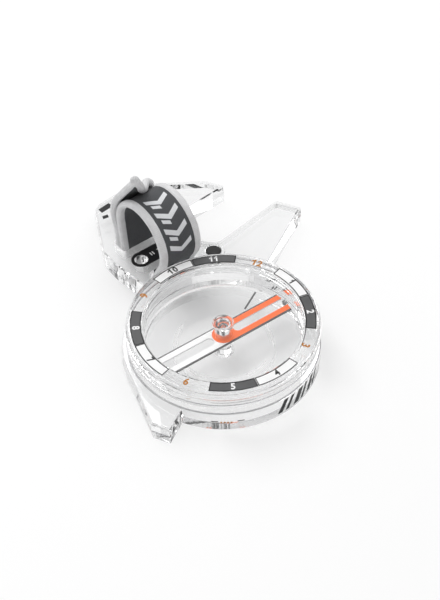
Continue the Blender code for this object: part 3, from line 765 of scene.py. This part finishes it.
def bound_edge(bm, rim, meet):
    """Sews the binding over a run of rim places, up to the mitred corner that both runs share."""
    middle = BINDING_WIDTH / 2
    reach = middle - SEAM
    tip, normal, inward = rim[-1]
    end = (tip - rim[-3][0]).normalized()
    corner = tip + meet * (reach / max(0.5, meet.dot(inward)))
    straight = [place for place in rim if (corner - place[0]).dot(end) > 0.2 * MM]
    places = [(point + side * reach, up, side, 1.0) for point, up, side in straight]
    for t in (0, 0.3, 0.55, 0.75, 0.9, 0.98):
        places.append((corner + end * middle * t, normal, inward, sqrt(1 - t * t)))
    rings = []
    run = 0.0
    previous = places[0][0]
    for centre, up, side, size in places:
        run += (centre - previous).length
        previous = centre
        ring = []
        for depth, height in binding_profile():
            spot = centre + side * (depth - middle) * size + up * height * size
            ring.append((fuzzy(spot, 0.1 * MM), (run, depth * 2 + height, 0)))
        rings.append(ring)
    ribbon(bm, rings)


def make_tail(mats):
    """Free end of the strap: the knitted band, and a binding along each of its two runs of edge."""
    spans, lanes = 10, 24
    row_pitch = 0.6 * MM
    grid, normals = tail_grid(spans, lanes)
    rows = len(grid) - 2
    bm = bmesh.new()
    weave = bm.verts.layers.float_vector.new("weave")
    sides = []
    for sign in (0.5, -0.5):
        side = []
        for i in range(rows):
            line = []
            for j in range(1, lanes):
                vert = bm.verts.new(grid[i][j] + normals[i][j] * CORE_THICK * sign)
                vert[weave] = (i * row_pitch, STRAP_WIDTH * j / lanes, 0)
                line.append(vert)
            side.append(line)
        sides.append(side)
    top, low = sides
    columns = lanes - 2
    for i in range(rows - 1):
        for j in range(columns):
            bm.faces.new((top[i][j], top[i][j + 1], top[i + 1][j + 1], top[i + 1][j]))
            bm.faces.new((low[i][j], low[i + 1][j], low[i + 1][j + 1], low[i][j + 1]))
        for j in (0, columns):
            bm.faces.new((top[i][j], top[i + 1][j], low[i + 1][j], low[i][j]))
    for i in (0, rows - 1):
        for j in range(columns):
            bm.faces.new((top[i][j], top[i][j + 1], low[i][j + 1], low[i][j]))
    core = finish_piece("strap_tail_band", bm, mats["band"], "base", 60)
    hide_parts("strap_tail")

    near_rim, tip_rim = tail_rims(grid, normals)
    meet = (near_rim[-1][2] + tip_rim[-1][2]).normalized()
    for name, rim in (("near", near_rim), ("tip", tip_rim)):
        bm = bmesh.new()
        bound_edge(bm, rim, meet)
        finish_piece(f"strap_tail_binding_{name}", bm, mats["edge"], "base", 80)


# ---------------------------------------------------------------- generic printed marks

def patch(bm, corners, place, thick=0.03 * MM, steps=5):
    """Adds a thin four-cornered print to bm; place(x, y, lift) puts a point of the pattern on the part."""
    weave = bm.verts.layers.float_vector.get("weave") or bm.verts.layers.float_vector.new("weave")
    one, two, three, four = [Vector(c) for c in corners]
    grids = []
    for lift in (0, thick):
        grid = []
        for i in range(steps + 1):
            low = one.lerp(two, i / steps)
            high = four.lerp(three, i / steps)
            row = []
            for j in range(steps + 1):
                spot = low.lerp(high, j / steps)
                vert = bm.verts.new(place(spot.x, spot.y, lift))
                vert[weave] = (spot.x, spot.y, 0)
                row.append(vert)
            grid.append(row)
        grids.append(grid)
    low, high = grids
    for i in range(steps):
        for j in range(steps):
            bm.faces.new((high[i][j], high[i + 1][j], high[i + 1][j + 1], high[i][j + 1]))
            bm.faces.new((low[i][j], low[i][j + 1], low[i + 1][j + 1], low[i + 1][j]))
    for i in range(steps):
        for side in (0, steps):
            bm.faces.new((low[i][side], low[i + 1][side], high[i + 1][side], high[i][side]))
            bm.faces.new((low[side][i], high[side][i], high[side][i + 1], low[side][i + 1]))


def on_loop(x, y, lift):
    """x runs along the band from the top of the loop's left side, y across it."""
    turn = pi - x / LOOP_R
    radius = LOOP_R + CORE_THICK / 2 + 0.01 * MM + lift
    return strap_point(LOOP_CENTRE[0] + radius * cos(turn), y, LOOP_CENTRE[1] + radius * sin(turn))


def on_collar(x, y, lift):
    """x is the clock angle in radians, y the height."""
    spot = around(x) * (COLLAR_R + 0.01 * MM + lift)
    return Vector((spot.x, spot.y, y))


def on_plate(x, y, lift):
    return Vector((x, y, PLATE_TOP + lift))


def on_label(x, y, lift):
    """x and y are the strap's own u and a."""
    spot = strap_point(x, y, 0)
    return Vector((spot.x, spot.y, LABEL_TOP + 0.005 * MM + lift))


def slanted(x, y, wide, lean, top):
    """Corners of a bar that is wide along x, and leans by lean between y and top."""
    return ((x, y), (x + wide, y), (x + wide + lean, top), (x + lean, top))


def make_strap_print(mats):
    """Pale chevrons, with a short bar between each two, woven into the outside of the band."""
    bm = bmesh.new()
    near, far, middle = 2.9 * MM, 9.3 * MM, 6.1 * MM
    bar, lean = 1.35 * MM, 1.7 * MM
    start, pitch, count = 13.6 * MM, 4.3 * MM, 4
    for i in range(count):
        x = start + i * pitch
        patch(bm, slanted(x, near, bar, lean, middle), on_loop)
        patch(bm, slanted(x + lean, middle, bar, -lean, far), on_loop)
        if i < count - 1:
            short = slanted(x + pitch * 0.52, near + 0.6 * MM, bar * 0.7, lean * 0.55, middle - 0.5 * MM)
            patch(bm, short, on_loop)
    finish_piece("strap_print", bm, mats["print"], "base", 60)


def make_collar_marks(mats):
    """Black bars on the right of the collar, and a row of small dots between two dashes at its front."""
    low, high = 0.9 * MM, 4.9 * MM
    # Clock angle and width of each bar, in degrees
    bars = ((124, 3.2), (118.5, 2.4), (112.5, 4.2), (106.5, 2.4), (100.5, 3.4), (94.5, 2.2))
    lean = radians(-4.5)
    bm = bmesh.new()
    for clock, width in bars:
        patch(bm, slanted(radians(clock), low, radians(-width), lean, high), on_collar)
    for clock in (163.5, 148.5):
        patch(bm, slanted(radians(clock), 2.85 * MM, radians(-4), 0, 3.1 * MM), on_collar)
    finish_piece("collar_marks", bm, mats["sheer_ink"], "base")

    bm = bmesh.new()
    dot, foot = 0.42 * MM, 2.5 * MM
    for i in range(4):
        patch(bm, slanted(radians(158.2 - 1.9 * i), foot, -dot / COLLAR_R, 0, foot + dot), on_collar)
    finish_piece("collar_dots", bm, mats["ochre"], "base")


def make_plate_marks(mats):
    """Two black slanted bars near the plate's left corner."""
    bm = bmesh.new()
    for corners in (((-49.6, 29.7), (-48.1, 28.9), (-46.7, 32.3), (-48.3, 33.1)),
                    ((-47.4, 27.7), (-46.6, 26.8), (-45.6, 28.1), (-46.4, 28.9))):
        patch(bm, [(x * MM, y * MM) for x, y in corners], on_plate)
    finish_piece("plate_marks", bm, mats["ink"], "base")


def make_label_icons(mats):
    """Small generic bars and a block on the black label, as (u, a, width, depth) in millimetres."""
    signs = ((5.3, 4.0, 1.2, 0.3), (5.3, 4.7, 1.2, 0.3), (5.3, 6.2, 0.3, 1.0), (6.2, 6.2, 0.3, 1.0),
             (5.4, 8.4, 1.0, 0.9))
    bm = bmesh.new()
    for u, a, wide, deep in signs:
        patch(bm, slanted(u * MM, a * MM, wide * MM, 0, (a + deep) * MM), on_label, steps=1)
    finish_piece("label_icons", bm, mats["pale_foil"], "base")


# ---------------------------------------------------------------- studio

FLOOR_HALF = 3.0
FLOOR_Z = -0.05 * MM
KEY_PLACE = (-0.55, 0.35, 0.75)
KEY_SIZE = 0.6
KEY_POWER = 3.9
SKY_STRENGTH = 0.74
SKY_STOPS = ((0.0, 0.06), (0.10, 0.14), (0.30, 0.75), (0.55, 1.12), (1.0, 1.28))   # height, brightness
CAMERA_PLACE = (0.083822, -0.179714, 0.223315)
CAMERA_FORWARD = (-0.29610, 0.62999, -0.71794)
CAMERA_RIGHT = (0.91422, 0.40462, -0.02201)
LENS_MM = 73.73


def make_stage(mats):
    bm = bmesh.new()
    bmesh.ops.create_grid(bm, x_segments=2, y_segments=2, size=FLOOR_HALF)
    mesh = bpy.data.meshes.new("studio_floor")
    bm.to_mesh(mesh)
    bm.free()
    mesh.materials.append(mats["floor"])
    floor = bpy.data.objects.new("studio_floor", mesh)
    floor.location.z = FLOOR_Z
    bpy.context.scene.collection.objects.link(floor)


def make_light():
    """Large soft lamp, behind and to the left, that points at the origin."""
    lamp = bpy.data.lights.new("key_light", "AREA")
    lamp.shape = "DISK"
    lamp.size = KEY_SIZE
    lamp.energy = KEY_POWER
    holder = bpy.data.objects.new("key_light", lamp)
    holder.location = KEY_PLACE
    holder.rotation_euler = (-Vector(KEY_PLACE)).to_track_quat("-Z", "Y").to_euler()
    bpy.context.scene.collection.objects.link(holder)


def make_world():
    """Bright dome over a darker horizon, which gives clear edges their grey lines."""
    world = bpy.data.worlds.new("studio")
    bpy.context.scene.world = world
    world.use_nodes = True
    tree = world.node_tree
    way = tree.nodes.new("ShaderNodeTexCoord").outputs["Generated"]
    height = add_node(tree, "ShaderNodeSeparateXYZ", {0: way}).outputs[2]
    colours = tree.nodes.new("ShaderNodeValToRGB")
    tree.links.new(height, colours.inputs[0])
    band = colours.color_ramp
    for i, (at, level) in enumerate(SKY_STOPS):
        stop = band.elements[i] if i < 2 else band.elements.new(at)
        stop.position = at
        stop.color = (level, level, level, 1.0)
    tree.links.new(colours.outputs[0], tree.nodes["Background"].inputs[0])
    tree.nodes["Background"].inputs[1].default_value = SKY_STRENGTH


def make_camera():
    lens = bpy.data.cameras.new("camera")
    lens.lens = LENS_MM
    lens.sensor_width = 36.0
    lens.clip_start = 0.01
    camera = bpy.data.objects.new("camera", lens)
    forward = Vector(CAMERA_FORWARD).normalized()
    right = Vector(CAMERA_RIGHT).normalized()
    up = right.cross(forward).normalized()
    place = Matrix((right, up, -forward)).transposed().to_4x4()
    place.translation = CAMERA_PLACE
    camera.matrix_world = place
    bpy.context.scene.collection.objects.link(camera)
    bpy.context.scene.camera = camera


def set_picture():
    """Enough bounces for the stacked clear layers, and plain display colours."""
    scene = bpy.context.scene
    scene.view_settings.view_transform = "Standard"
    scene.cycles.max_bounces = 32
    scene.cycles.diffuse_bounces = 4
    scene.cycles.glossy_bounces = 16
    scene.cycles.transmission_bounces = 28
    scene.cycles.transparent_max_bounces = 16
    scene.cycles.sample_clamp_indirect = 6.0
    scene.cycles.blur_glossy = 0.3
    scene.cycles.use_denoising = True


# ---------------------------------------------------------------- assembly

NODE_MATERIALS = {
    "base_plate": "acrylic", "capsule_body": "capsule", "hour_ring": "moulding", "pivot_post": "moulding",
    "capsule_lens": "window", "jewel_cap": "window", "bearing_cup": "cup", "ring_snap_ring": "moulding",
    "scale_label": "label", "grip_stud": "rubber", "filler_plug": "plug", "pivot_pin": "pin",
    "needle_blade": "blade", "travel_line": "line",
}


def dress_nodes(mats):
    """Gives the visible CAD nodes their material; the strap's nodes are replaced by pieces."""
    for name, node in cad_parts.items():
        key = NODE_MATERIALS.get(name)
        if name.startswith("hour_segment"):
            key = "pale_foil" if int(name[-2:]) in WHITE_HOURS else "grey_foil"
        if key is None:
            continue
        node.data.materials.clear()
        node.data.materials.append(mats[key])


materials = make_materials()
dress_nodes(materials)
make_numerals(materials)
make_segment_frames(materials)
make_needle_paint(materials)
make_loop(materials)
make_tail(materials)
make_strap_print(materials)
make_collar_marks(materials)
make_plate_marks(materials)
make_label_icons(materials)
make_stage(materials)
make_world()
make_light()
make_camera()
set_picture()
